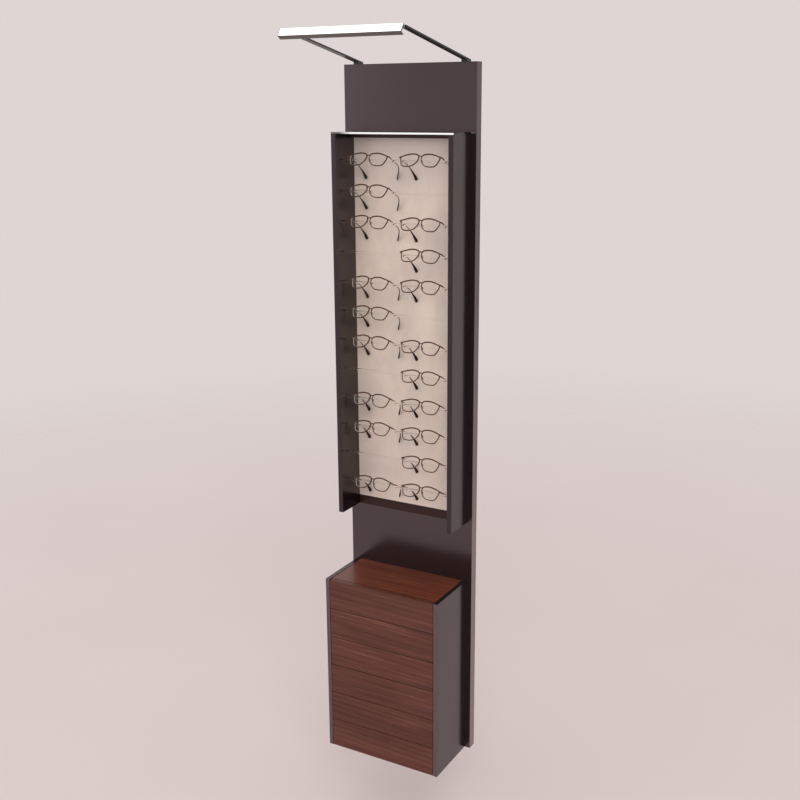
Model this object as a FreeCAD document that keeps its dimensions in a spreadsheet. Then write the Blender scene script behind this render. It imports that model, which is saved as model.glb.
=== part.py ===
# Wall-hung eyewear display organizer.
# A tall lacquered back panel carries a shallow two-column display box with clear
# rods for spectacles, a six-drawer cabinet below it and a slim lamp above it.
# Frame: origin on the wall plane at the panel's bottom centre, +X to the right,
# +Y into the wall (the organizer stands out towards -Y), +Z up. Millimetres.
import FreeCAD, Part
import math
import os
import re

V = FreeCAD.Vector
doc = FreeCAD.newDocument("GlassesOrganizer")

# ---------------------------------------------------------------- driving sizes
SIZES = [
    # back panel
    ("panel_w", 447.0), ("panel_tall", 2205.0), ("panel_thk", 31.0),
    ("cleat_recess_w", 390.0), ("cleat_recess_z", 2030.0), ("cleat_recess_tall", 94.0), ("cleat_recess_deep", 14.0),
    ("driver_recess_w", 230.0), ("driver_recess_z", 2146.0), ("driver_recess_tall", 42.0), ("driver_recess_deep", 23.0),
    ("duct_w", 9.0), ("duct_deep", 6.0),
    # hanging cleats
    ("cleat_w", 370.0), ("cleat_thk", 13.0), ("cleat_low_z", 2036.0), ("cleat_mid_z", 2075.0), ("cleat_top_z", 2119.0),
    ("cleat_hole_x", 150.0), ("cleat_hole_z", 2054.0), ("cleat_hole_rad", 2.75),
    # display box
    ("cheek_out", 205.0), ("cheek_thk", 16.0), ("cheek_deep", 111.0), ("box_low_z", 804.0), ("box_top_z", 2004.5),
    ("cover_thk", 5.0), ("board_thk", 5.5), ("low_rail_tall", 30.0), ("top_rail_tall", 13.5), ("top_rail_deep", 20.5),
    # display rods
    ("rod_rad", 4.0), ("rod_into", 7.0), ("rod_front", 110.0), ("rod_top_z", 1927.25), ("row_pitch", 92.2),
    # cabinet
    ("cab_out", 204.0), ("cab_side_thk", 14.0), ("cab_deep", 201.0), ("cab_tall", 603.0),
    ("cab_board_thk", 16.0), ("cab_top_z", 602.0),
    # drawers
    ("front_pitch", 100.3), ("front_gap", 1.6), ("front_side_gap", 1.4), ("front_thk", 18.0),
    ("box_lift", 19.0), ("box_tall", 62.0), ("box_side_thk", 12.0), ("box_gap", 2.0), ("box_rear_y", 46.0),
    ("bottom_lift", 4.0), ("bottom_thk", 5.0),
    ("groove_deep", 5.5), ("groove_tall", 17.0), ("groove_lift", 23.0),
    ("runner_thk", 7.0), ("runner_tall", 16.0), ("runner_long", 158.0),
    # lamp
    ("arm_w", 18.5), ("arm_thk", 4.6), ("arm_out", 190.4), ("arm_rear_top_z", 2210.7), ("arm_slope", 0.196),
    ("arm_end_y", 385.0), ("arm_foot_front", 29.0), ("arm_foot_rear", 3.0),
    ("pivot_y", 396.0), ("pivot_z", 2282.2), ("pivot_rad", 1.6), ("barrel_rad", 3.6), ("barrel_w", 12.5),
    ("head_long", 384.0), ("head_face", 24.6), ("head_lip", 14.8), ("head_plate", 3.2), ("lip_thk", 1.6),
    ("diffuser_thk", 1.2), ("led_thk", 0.8),
    ("head_y", 415.7), ("head_z", 2269.0), ("head_tilt", 35.2), ("cap_thk", 1.5),
    # screws
    ("screw_rad", 2.0), ("screw_head_rad", 4.0), ("screw_head_tall", 3.0), ("screw_long", 60.0),
    # spectacles
    ("gl_col_x", 87.6), ("gl_front_y", 121.1), ("gl_row_z", 1939.3), ("gl_front_thk", 3.0), ("gl_rim_w", 2.4),
    ("gl_lens_thk", 1.6),
]
sheet = doc.addObject("Spreadsheet::Sheet", "Dimensions")
S = {}
for i, (alias, value) in enumerate(SIZES):
    sheet.set("A%d" % (i + 1), alias)
    sheet.set("B%d" % (i + 1), str(value))
    sheet.setAlias("B%d" % (i + 1), alias)
    S[alias] = value
doc.recompute()


def ex(text):
    """Turn bare size names into references to the sheet."""
    return re.sub(r"[A-Za-z_][A-Za-z_0-9]*", lambda m: "Dimensions." + m.group(0) if m.group(0) in S else m.group(0), str(text))


def bind(obj, prop, text):
    obj.setExpression(prop, ex(text))


PARTS = []  # (label, object) of each sub-part that is written


def keep(label, obj):
    obj.Label = label
    PARTS.append((label, obj))
    return obj


def place(obj, x="0", y="0", z="0"):
    for axis, text in (("x", x), ("y", y), ("z", z)):
        bind(obj, "Placement.Base." + axis, text)
    return obj


def box(name, x, y, z, w, d, t):
    """Board from corner (x, y, z), w along X, d along Y, t along Z."""
    o = doc.addObject("Part::Box", name)
    bind(o, "Length", w)
    bind(o, "Width", d)
    bind(o, "Height", t)
    return place(o, x, y, z)


def cyl_y(name, x, y, z, rad, length):
    """Round bar along +Y from (x, y, z)."""
    o = doc.addObject("Part::Cylinder", name)
    bind(o, "Radius", rad)
    bind(o, "Height", length)
    place(o, x, y, z)
    o.Placement.Rotation = FreeCAD.Rotation(V(1, 0, 0), -90)
    return place(o, x, y, z)


def cyl_x(name, x, y, z, rad, length):
    o = doc.addObject("Part::Cylinder", name)
    bind(o, "Radius", rad)
    bind(o, "Height", length)
    o.Placement.Rotation = FreeCAD.Rotation(V(0, 1, 0), 90)
    return place(o, x, y, z)


def cyl_z(name, x, y, z, rad, length):
    o = doc.addObject("Part::Cylinder", name)
    bind(o, "Radius", rad)
    bind(o, "Height", length)
    return place(o, x, y, z)


def fuse(name, shapes):
    o = doc.addObject("Part::MultiFuse", name)
    o.Shapes = shapes
    return o


def group(name, shapes):
    o = doc.addObject("Part::Compound", name)
    o.Links = shapes
    return o


def cut(name, base, tool):
    o = doc.addObject("Part::Cut", name)
    o.Base = base
    o.Tool = tool
    return o


# --------------------------------------------------------- sketch-based helpers
def plane(body, role):
    return [f for f in body.Origin.OriginFeatures if f.Role == role][0]


def sketch(body, name, role):
    sk = body.newObject("Sketcher::SketchObject", name)
    sk.AttachmentSupport = [(plane(body, role), "")]
    sk.MapMode = "FlatFace"
    return sk


def rect(sk, x, y, w, t):
    """Rectangle with its low corner at (x, y), both positive, bound to the sheet."""
    import Sketcher
    n = sk.GeometryCount
    pts = [V(1, 1, 0), V(2, 1, 0), V(2, 2, 0), V(1, 2, 0)]
    for a in range(4):
        sk.addGeometry(Part.LineSegment(pts[a], pts[(a + 1) % 4]), False)
    for a in range(4):
        sk.addConstraint(Sketcher.Constraint("Coincident", n + a, 2, n + (a + 1) % 4, 1))
    for a, kind in enumerate(("Horizontal", "Vertical", "Horizontal", "Vertical")):
        sk.addConstraint(Sketcher.Constraint(kind, n + a))
    for geo, kind, text in ((n, "DistanceX", w), (n + 1, "DistanceY", t)):
        c = sk.addConstraint(Sketcher.Constraint(kind, geo, 1, geo, 2, 1.0))
        sk.setExpression("Constraints[%d]" % c, ex(text))
    for kind, text in (("DistanceX", x), ("DistanceY", y)):
        c = sk.addConstraint(Sketcher.Constraint(kind, -1, 1, n, 1, 1.0))
        sk.setExpression("Constraints[%d]" % c, ex(text))


def circle(sk, x, y, rad):
    import Sketcher
    n = sk.addGeometry(Part.Circle(V(1, 1, 0), V(0, 0, 1), 1.0), False)
    for kind, text in (("DistanceX", x), ("DistanceY", y)):
        c = sk.addConstraint(Sketcher.Constraint(kind, -1, 1, n, 3, 1.0))
        sk.setExpression("Constraints[%d]" % c, ex(text))
    c = sk.addConstraint(Sketcher.Constraint("Radius", n, 1.0))
    sk.setExpression("Constraints[%d]" % c, ex(rad))


def polygon(sk, points):
    """Closed outline whose corners are bound to the sheet, as offsets from the sketch origin."""
    import Sketcher
    n = sk.GeometryCount
    m = len(points)
    vals = [V(value(a), value(b), 0) for a, b in points]
    for a in range(m):
        sk.addGeometry(Part.LineSegment(vals[a], vals[(a + 1) % m]), False)
    for a in range(m):
        sk.addConstraint(Sketcher.Constraint("Coincident", n + a, 2, n + (a + 1) % m, 1))
    for a, (tx, ty) in enumerate(points):
        for kind, text, v in (("DistanceX", tx, vals[a].x), ("DistanceY", ty, vals[a].y)):
            c = sk.addConstraint(Sketcher.Constraint(kind, -1, 1, n + a, 1, v))
            sk.setExpression("Constraints[%d]" % c, ex(text))


def value(text):
    """Number of an expression, used for a sketch's first guess."""
    return float(eval_simple(str(text)))


def eval_simple(text):
    """Sums, differences, products and quotients of numbers and size names."""
    tokens = re.findall(r"[A-Za-z_][A-Za-z_0-9]*|[0-9.]+|[-+*/()]", text)
    pos = [0]

    def atom():
        t = tokens[pos[0]]
        pos[0] += 1
        if t == "(":
            v = total()
            pos[0] += 1
            return v
        if t == "-":
            return -atom()
        return S[t] if t in S else float(t)

    def product():
        v = atom()
        while pos[0] < len(tokens) and tokens[pos[0]] in "*/":
            t = tokens[pos[0]]
            pos[0] += 1
            w = atom()
            v = v * w if t == "*" else v / w
        return v

    def total():
        v = product()
        while pos[0] < len(tokens) and tokens[pos[0]] in "+-":
            t = tokens[pos[0]]
            pos[0] += 1
            w = product()
            v = v + w if t == "+" else v - w
        return v

    return total()


def pad(body, sk, name, length, reverse=False):
    f = body.newObject("PartDesign::Pad", name)
    f.Profile = sk
    bind(f, "Length", length)
    f.Reversed = reverse
    sk.Visibility = False
    return f


def pocket(body, sk, name, length, reverse=False, through=False):
    f = body.newObject("PartDesign::Pocket", name)
    f.Profile = sk
    if through:
        f.Type = "ThroughAll"
        f.Midplane = True
    else:
        bind(f, "Length", length)
    f.Reversed = reverse
    return f


def edges_where(shape, test):
    out = []
    for i, e in enumerate(shape.Edges):
        if len(e.Vertexes) == 2:
            a, b = e.Vertexes[0].Point, e.Vertexes[1].Point
            if test(a, b):
                out.append("Edge%d" % (i + 1))
    return out


def ease(body, base, name, test, size, kind="PartDesign::Fillet"):
    doc.recompute()
    f = body.newObject(kind, name)
    f.Base = (base, edges_where(base.Shape, test))
    if kind.endswith("Fillet"):
        f.Radius = size
    else:
        f.Size = size
    return f


def near(a, b, tol=0.01):
    return abs(a - b) < tol


def front_edges(y):
    """Edges that lie in the plane Y = y of the body's own frame."""
    return lambda a, b: near(a.y, y) and near(b.y, y)


def new_body(name):
    return doc.addObject("PartDesign::Body", name)


# ------------------------------------------------------------------ back panel
# Long screws driven from the rear hold the display cheeks and the cabinet sides.
SCREW_Z = [850.0, 1130.0, 1410.0, 1690.0, 1960.0, 60.0, 300.0, 560.0]
screws = []
for k, z in enumerate(SCREW_Z):
    for side, sx in (("left", "-"), ("right", "")):
        shank = cyl_y("screw_shank_%s_%d" % (side, k), sx + "(cheek_out - cheek_thk / 2)", "-screw_long", str(z), "screw_rad", "screw_long - screw_head_tall")
        head = cyl_y("screw_head_%s_%d" % (side, k), sx + "(cheek_out - cheek_thk / 2)", "-screw_head_tall", str(z), "screw_head_rad", "screw_head_tall")
        screws.append(fuse("screw_%s_%d" % (side, k), [shank, head]))
panel_screws = keep("panel_screws", group("panel_screw_group", screws))

panel = new_body("panel_body")
sk = sketch(panel, "panel_outline", "XZ_Plane")
rect(sk, "0", "0", "panel_w", "panel_tall")
panel_pad = pad(panel, sk, "panel_board", "panel_thk")
sk = sketch(panel, "cleat_recess_outline", "XZ_Plane")
rect(sk, "panel_w / 2 - cleat_recess_w / 2", "cleat_recess_z", "cleat_recess_w", "cleat_recess_tall")
p1 = pocket(panel, sk, "cleat_recess", "cleat_recess_deep", True)
sk = sketch(panel, "driver_recess_outline", "XZ_Plane")
rect(sk, "panel_w / 2 - driver_recess_w / 2", "driver_recess_z", "driver_recess_w", "driver_recess_tall")
p2 = pocket(panel, sk, "driver_recess", "driver_recess_deep", True)
# Wiring duct from the driver's recess to the top edge below the left lamp arm.
sk = sketch(panel, "duct_outline", "XZ_Plane")
polygon(sk, [
    ("panel_w / 2 - driver_recess_w / 2", "driver_recess_z + 12"),
    ("panel_w / 2 - driver_recess_w / 2", "driver_recess_z + 12 + duct_w"),
    ("panel_w / 2 - arm_out + arm_w / 2 + duct_w / 2", "driver_recess_z + 12 + duct_w"),
    ("panel_w / 2 - arm_out + arm_w / 2 + duct_w / 2", "panel_tall"),
    ("panel_w / 2 - arm_out + arm_w / 2 - duct_w / 2", "panel_tall"),
    ("panel_w / 2 - arm_out + arm_w / 2 - duct_w / 2", "driver_recess_z + 12")])
p3 = pocket(panel, sk, "wiring_duct", "duct_deep", True)
panel_edge = ease(panel, p3, "panel_front_edges", front_edges(-S["panel_thk"]), 0.8)
place(panel, "-panel_w / 2")
doc.recompute()

# Lamp screws stand vertically in the panel's top edge, two to an arm.
lamp_screw_list = []
for side, sx in (("left", "-"), ("right", "")):
    for k, yy in enumerate(("9.5", "22")):
        shank = cyl_z("lamp_shank_%s_%d" % (side, k), sx + "(arm_out - arm_w / 2)", "-" + yy, "panel_tall - 22", "1.75", "22 + arm_rear_top_z - panel_tall + arm_slope * %s - 0.4" % yy)
        head = cyl_z("lamp_head_%s_%d" % (side, k), sx + "(arm_out - arm_w / 2)", "-" + yy, "arm_rear_top_z + arm_slope * %s + 0.8" % yy, "3.2", "2")
        tip = cyl_z("lamp_neck_%s_%d" % (side, k), sx + "(arm_out - arm_w / 2)", "-" + yy, "panel_tall - 22", "1.75", "22 + arm_rear_top_z - panel_tall + arm_slope * %s + 0.9" % yy)
        lamp_screw_list.append(fuse("lamp_screw_%s_%d" % (side, k), [shank, tip, head]))
lamp_screws = keep("lamp_screws", group("lamp_screw_group", lamp_screw_list))

# Cleat screws: four, through the upper cleat into the panel, heads towards the wall.
cleat_screw_list = []
for k, xx in enumerate((-160.0, -55.0, 55.0, 160.0)):
    shank = cyl_y("cleat_shank_%d" % k, str(xx), "-26", "cleat_top_z - 14", "screw_rad", "25.2 - screw_head_tall")
    head = cyl_y("cleat_head_%d" % k, str(xx), "-screw_head_tall - 0.8", "cleat_top_z - 14", "screw_head_rad", "screw_head_tall")
    cleat_screw_list.append(fuse("cleat_screw_%d" % k, [shank, head]))
cleat_screws = keep("cleat_screws", group("cleat_screw_group", cleat_screw_list))

# Supply inlet: a short gland in the lower wall of the driver recess, opening to the rear.
inlet_out = cyl_y("inlet_flange", "80", "-driver_recess_deep", "driver_recess_z + 21", "9", "3")
inlet_mid = cyl_y("inlet_body", "80", "-driver_recess_deep + 3", "driver_recess_z + 21", "7", "16")
inlet_bore = cyl_y("inlet_bore", "80", "-driver_recess_deep + 3", "driver_recess_z + 21", "3.5", "30")
keep("power_inlet", cut("power_inlet_gland", fuse("inlet_solid", [inlet_out, inlet_mid]), inlet_bore))

panel_tools = fuse("panel_screw_holes", screws + lamp_screw_list + cleat_screw_list)
keep("back_panel", cut("back_panel_board", panel, panel_tools))

# LED driver: a small closed box with end flanges.
drv = box("driver_case", "-100", "-driver_recess_deep", "driver_recess_z + 6", "140", "18", "30")
drv_l = box("driver_flange_left", "-112", "-driver_recess_deep", "driver_recess_z + 10", "12", "2", "22")
drv_r = box("driver_flange_right", "40", "-driver_recess_deep", "driver_recess_z + 10", "12", "2", "22")
keep("lamp_driver", fuse("lamp_driver_case", [drv, drv_l, drv_r]))

# Hanging cleats: mating 45 degree bevels, the lower one screwed to the wall.
cleat = new_body("wall_cleat_body")
sk = sketch(cleat, "wall_cleat_section", "YZ_Plane")
polygon(sk, [("0", "cleat_low_z"), ("0", "cleat_mid_z"), ("-cleat_thk", "cleat_mid_z + cleat_thk"), ("-cleat_thk", "cleat_low_z")])
cp = pad(cleat, sk, "wall_cleat_bar", "cleat_w")
place(cleat, "-cleat_w / 2")
holes = fuse("wall_cleat_holes", [
    cyl_y("wall_hole_left", "-cleat_hole_x", "-cleat_thk - 1", "cleat_hole_z", "cleat_hole_rad", "cleat_thk + 2"),
    cyl_y("wall_hole_right", "cleat_hole_x", "-cleat_thk - 1", "cleat_hole_z", "cleat_hole_rad", "cleat_thk + 2")])
keep("wall_cleat", cut("wall_cleat_drilled", cleat, holes))
cleat2 = new_body("panel_cleat_body")
sk = sketch(cleat2, "panel_cleat_section", "YZ_Plane")
polygon(sk, [("-0.5", "cleat_mid_z + 0.5"), ("-0.5", "cleat_top_z"), ("-cleat_recess_deep", "cleat_top_z"), ("-cleat_recess_deep", "cleat_mid_z + cleat_recess_deep")])
pad(cleat2, sk, "panel_cleat_bar", "cleat_w")
place(cleat2, "-cleat_w / 2")
keep("panel_cleat", cut("panel_cleat_drilled", cleat2, fuse("panel_cleat_holes", cleat_screw_list)))

# ------------------------------------------------------------------ display box
keep("display_board", box("display_board_sheet", "-cheek_out + cheek_thk", "-panel_thk - board_thk", "box_low_z + low_rail_tall",
                          "2 * cheek_out - 2 * cheek_thk", "board_thk", "box_top_z - top_rail_tall - box_low_z - low_rail_tall"))
keep("bottom_rail", box("bottom_rail_strip", "-cheek_out + cheek_thk", "-panel_thk - board_thk", "box_low_z",
                        "2 * cheek_out - 2 * cheek_thk", "board_thk", "low_rail_tall"))
keep("top_rail", box("top_rail_strip", "-cheek_out + cheek_thk", "-panel_thk - top_rail_deep", "box_top_z - top_rail_tall",
                     "2 * cheek_out - 2 * cheek_thk", "top_rail_deep", "top_rail_tall"))

for side in ("left", "right"):
    b = new_body("cheek_%s_body" % side)
    sk = sketch(b, "cheek_%s_outline" % side, "XZ_Plane")
    rect(sk, "0", "0", "cheek_thk", "box_top_z - box_low_z")
    bp = pad(b, sk, "cheek_%s_board" % side, "cheek_deep")
    # Blind holes for the rods: one pocket, repeated downwards once for each row.
    sk = sketch(b, "cheek_%s_rod_hole" % side, "YZ_Plane")
    circle(sk, "-(rod_front - panel_thk)", "rod_top_z - box_low_z", "rod_rad")
    if side == "left":
        sk.AttachmentOffset = FreeCAD.Placement(V(0, 0, S["cheek_thk"]), FreeCAD.Rotation())
        sk.setExpression("AttachmentOffset.Base.z", ex("cheek_thk"))
    hole = pocket(b, sk, "cheek_%s_rod_pocket" % side, "rod_into", side == "right")
    doc.recompute()
    rows = b.newObject("PartDesign::LinearPattern", "cheek_%s_rod_holes" % side)
    rows.Originals = [hole]
    rows.Direction = ([f for f in b.Origin.OriginFeatures if f.Role == "Z_Axis"][0], [""])
    rows.Reversed = True
    rows.Occurrences = 12
    bind(rows, "Length", "row_pitch * 11")
    b.Tip = rows
    doc.recompute()
    ed = ease(b, rows, "cheek_%s_front_edges" % side, front_edges(-S["cheek_deep"]), 0.8)
    place(b, "-cheek_out" if side == "left" else "cheek_out - cheek_thk", "-panel_thk", "box_low_z")
    keep("cheek_" + side, cut("cheek_%s_drilled" % side, b, fuse("cheek_%s_screw_holes" % side, [s for s in screws if side in s.Name and int(s.Name.split("_")[-1]) < 5])))

cover = new_body("cover_body")
sk = sketch(cover, "cover_outline", "XZ_Plane")
rect(sk, "0", "0", "2 * cheek_out", "cover_thk")
cv = pad(cover, sk, "cover_sheet", "cheek_deep")
ease(cover, cv, "cover_front_edges", front_edges(-S["cheek_deep"]), 0.8)
place(cover, "-cheek_out", "-panel_thk", "box_top_z")
keep("cover_plate", cover)

# Clear rods, one to a row, let into the cheeks at both ends.
rod_list = []
for k in range(12):
    rod_list.append(cyl_x("rod_%02d" % (k + 1), "-cheek_out + cheek_thk - rod_into", "-rod_front", "rod_top_z - row_pitch * %d" % k, "rod_rad", "2 * (cheek_out - cheek_thk + rod_into)"))
keep("display_rods", group("display_rod_group", rod_list))

# ---------------------------------------------------------------------- cabinet
for side in ("left", "right"):
    b = new_body("cabinet_%s_body" % side)
    sk = sketch(b, "cabinet_%s_outline" % side, "XZ_Plane")
    rect(sk, "0", "0", "cab_side_thk", "cab_tall")
    bp = pad(b, sk, "cabinet_%s_board" % side, "cab_deep")
    ease(b, bp, "cabinet_%s_edges" % side, front_edges(-S["cab_deep"]), 0.8)
    place(b, "-cab_out" if side == "left" else "cab_out - cab_side_thk", "-panel_thk", "0")
    keep("cabinet_side_" + side, cut("cabinet_%s_drilled" % side, b, fuse("cabinet_%s_screw_holes" % side, [s for s in screws if side in s.Name and int(s.Name.split("_")[-1]) >= 5])))
keep("cabinet_top", box("cabinet_top_board", "-cab_out + cab_side_thk", "-panel_thk - cab_deep + front_thk + 0.6", "cab_top_z - cab_board_thk",
                        "2 * cab_out - 2 * cab_side_thk", "cab_deep - front_thk - 0.6", "cab_board_thk"))
keep("cabinet_bottom", box("cabinet_bottom_board", "-cab_out + cab_side_thk", "-panel_thk - cab_deep + front_thk + 0.6", "0",
                           "2 * cab_out - 2 * cab_side_thk", "cab_deep - front_thk - 0.6", "cab_board_thk"))

runner_list = []
for k in range(6):
    for side in ("left", "right"):
        rx = "-cab_out + cab_side_thk" if side == "left" else "cab_out - cab_side_thk - runner_thk"
        runner_list.append(box("runner_%s_%d" % (side, k + 1), rx, "-box_rear_y - runner_long",
                               "cab_top_z - front_pitch * %d + box_lift + groove_lift + (groove_tall - runner_tall) / 2" % (k + 1), "runner_thk", "runner_long", "runner_tall"))
keep("drawer_runners", group("drawer_runner_group", runner_list))

# Push latches on the panel, one behind each drawer: a round case with its plunger.
latch_list = []
for k in range(6):
    lz = "cab_top_z - front_pitch * %d + box_lift + 12" % (k + 1)
    case = cyl_y("latch_case_%d" % (k + 1), "0", "-panel_thk - 10", lz, "6", "10")
    tip = cyl_y("latch_plunger_%d" % (k + 1), "0", "-box_rear_y + 0.6", lz, "3", "box_rear_y - 0.6 - panel_thk")
    latch_list.append(fuse("latch_%d" % (k + 1), [case, tip]))
keep("push_latches", group("push_latch_group", latch_list))

for k in range(6):
    low = "(cab_top_z - front_pitch * %d)" % (k + 1)
    # Front board with eased front edges.
    b = new_body("front_body_%d" % (k + 1))
    sk = sketch(b, "front_outline_%d" % (k + 1), "XZ_Plane")
    rect(sk, "0", "0", "2 * (cab_out - cab_side_thk - front_side_gap)", "front_pitch - front_gap")
    bp = pad(b, sk, "front_board_%d" % (k + 1), "front_thk")
    ease(b, bp, "front_edges_%d" % (k + 1), front_edges(-S["front_thk"]), 0.7)
    place(b, "-(cab_out - cab_side_thk - front_side_gap)", "-panel_thk - cab_deep + front_thk", low + " + front_gap / 2")
    keep("drawer_front_%d" % (k + 1), b)
    # Drawer box: grooved sides, inner front, back and bottom as separate boards.
    half = "(cab_out - cab_side_thk - box_gap)"
    zb = low + " + box_lift"
    y_front = "(panel_thk + cab_deep - front_thk)"
    pieces = []
    for side in ("left", "right"):
        x0 = "-" + half if side == "left" else half + " - box_side_thk"
        board = box("box_side_board_%s_%d" % (side, k + 1), x0, "-" + y_front, zb, "box_side_thk", y_front + " - box_rear_y", "box_tall")
        gx = "-" + half if side == "left" else half + " - groove_deep"
        slot = box("box_side_groove_%s_%d" % (side, k + 1), gx + (" - 1" if side == "left" else ""), "-" + y_front + " + 7", zb + " + groove_lift", "groove_deep + 1", y_front + " - box_rear_y", "groove_tall")
        pieces.append(cut("box_side_%s_%d" % (side, k + 1), board, slot))
    inner = "2 * (%s - box_side_thk)" % half
    x1 = "-" + half + " + box_side_thk"
    pieces.append(box("box_inner_front_%d" % (k + 1), x1, "-" + y_front, zb, inner, "box_side_thk", "box_tall"))
    pieces.append(box("box_back_%d" % (k + 1), x1, "-box_rear_y - box_side_thk", zb, inner, "box_side_thk", "box_tall"))
    pieces.append(box("box_bottom_%d" % (k + 1), x1, "-" + y_front + " + box_side_thk", zb + " + bottom_lift", inner, y_front + " - box_rear_y - 2 * box_side_thk", "bottom_thk"))
    keep("drawer_box_%d" % (k + 1), group("drawer_box_group_%d" % (k + 1), pieces))

# ------------------------------------------------------------------------- lamp
pivot_off = "arm_rear_top_z + arm_slope * %s"
for side in ("left", "right"):
    b = new_body("arm_%s_body" % side)
    sk = sketch(b, "arm_%s_profile" % side, "YZ_Plane")
    top = lambda y: "arm_rear_top_z + arm_slope * (%s)" % y
    polygon(sk, [("-arm_foot_rear", "panel_tall"), ("-arm_foot_rear", top("arm_foot_rear")), ("-arm_end_y", top("arm_end_y")),
                 ("-arm_end_y", top("arm_end_y") + " - arm_thk"), ("-arm_foot_front", top("arm_foot_front") + " - arm_thk"), ("-arm_foot_front", "panel_tall")])
    a1 = pad(b, sk, "arm_%s_bar" % side, "arm_w")
    # Narrow neck and round barrel for the lamp's pivot pin.
    sk = sketch(b, "arm_%s_neck_profile" % side, "YZ_Plane")
    sk.AttachmentOffset = FreeCAD.Placement(V(0, 0, (S["arm_w"] - S["barrel_w"]) / 2), FreeCAD.Rotation())
    sk.setExpression("AttachmentOffset.Base.z", ex("(arm_w - barrel_w) / 2"))
    polygon(sk, [("-arm_end_y + 3", top("arm_end_y - 3")), ("-pivot_y + 1.2", "pivot_z + barrel_rad - 0.3"), ("-pivot_y + 1.2", "pivot_z - 1.0"), ("-pivot_y + 3.4", "pivot_z - 1.0"), ("-arm_end_y + 3", top("arm_end_y - 3") + " - arm_thk")])
    a2 = pad(b, sk, "arm_%s_neck" % side, "barrel_w")
    sk = sketch(b, "arm_%s_barrel_profile" % side, "YZ_Plane")
    sk.AttachmentOffset = FreeCAD.Placement(V(0, 0, (S["arm_w"] - S["barrel_w"]) / 2), FreeCAD.Rotation())
    sk.setExpression("AttachmentOffset.Base.z", ex("(arm_w - barrel_w) / 2"))
    circle(sk, "-pivot_y", "pivot_z", "barrel_rad")
    a3 = pad(b, sk, "arm_%s_barrel" % side, "barrel_w")
    sk = sketch(b, "arm_%s_bore_profile" % side, "YZ_Plane")
    circle(sk, "-pivot_y", "pivot_z", "pivot_rad")
    a4 = pocket(b, sk, "arm_%s_bore" % side, "arm_w", False, True)
    place(b, "-arm_out" if side == "left" else "arm_out - arm_w")
    keep("lamp_arm_" + side, cut("arm_%s_drilled" % side, b, fuse("arm_%s_screw_holes" % side, [s for s in lamp_screw_list if side in s.Name])))

# The lamp head is an angle: a lit plate with a narrow lip under it. It is drawn upright
# in its own frame, local -Y towards the light face,
# then tilted as a whole about X and set at the face's lower front corner.
head_rot = FreeCAD.Rotation(V(1, 0, 0), -S["head_tilt"])


def on_head(obj, x):
    obj.Placement.Rotation = head_rot
    bind(obj, "Placement.Rotation.Angle", "head_tilt")
    obj.Placement = FreeCAD.Placement(V(0, 0, 0), FreeCAD.Rotation(V(-1, 0, 0), S["head_tilt"]))
    bind(obj, "Placement.Rotation.Angle", "head_tilt")
    return place(obj, x, "-head_y", "head_z")


def head_point(ly, lz):
    c, s = math.cos(math.radians(S["head_tilt"])), math.sin(math.radians(S["head_tilt"]))
    return V(0, -S["head_y"] + ly * c + lz * s, S["head_z"] - ly * s + lz * c)


house = new_body("lamp_housing_body")
sk = sketch(house, "housing_section", "YZ_Plane")
polygon(sk, [("0", "0"), ("head_lip", "0"), ("head_lip", "lip_thk"), ("head_plate", "lip_thk"), ("head_plate", "head_face"),
             ("diffuser_thk + led_thk", "head_face"), ("diffuser_thk + led_thk", "lip_thk"), ("0", "lip_thk")])
pad(house, sk, "housing_angle", "head_long - 2 * cap_thk")
keep("lamp_housing", on_head(house, "-head_long / 2 + cap_thk"))

diff = new_body("lamp_diffuser_body")
sk = sketch(diff, "diffuser_section", "YZ_Plane")
rect(sk, "0", "lip_thk", "diffuser_thk", "head_face - lip_thk")
pad(diff, sk, "diffuser_strip", "head_long - 2 * cap_thk")
keep("lamp_diffuser", on_head(diff, "-head_long / 2 + cap_thk"))

led = new_body("lamp_led_body")
sk = sketch(led, "led_section", "YZ_Plane")
rect(sk, "diffuser_thk", "lip_thk + 1.4", "led_thk", "head_face - lip_thk - 2.8")
pad(led, sk, "led_strip", "head_long - 16")
keep("lamp_led_board", on_head(led, "-head_long / 2 + 8"))

caps = []
for side in ("left", "right"):
    b = new_body("cap_%s_body" % side)
    sk = sketch(b, "cap_%s_outline" % side, "YZ_Plane")
    polygon(sk, [("0", "0"), ("head_lip", "0"), ("head_lip", "lip_thk"), ("head_plate", "lip_thk"), ("head_plate", "head_face"), ("0", "head_face")])
    pad(b, sk, "cap_%s_plate" % side, "cap_thk")
    caps.append(on_head(b, "-head_long / 2" if side == "left" else "head_long / 2 - cap_thk"))
keep("lamp_end_caps", group("lamp_end_cap_group", caps))

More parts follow.
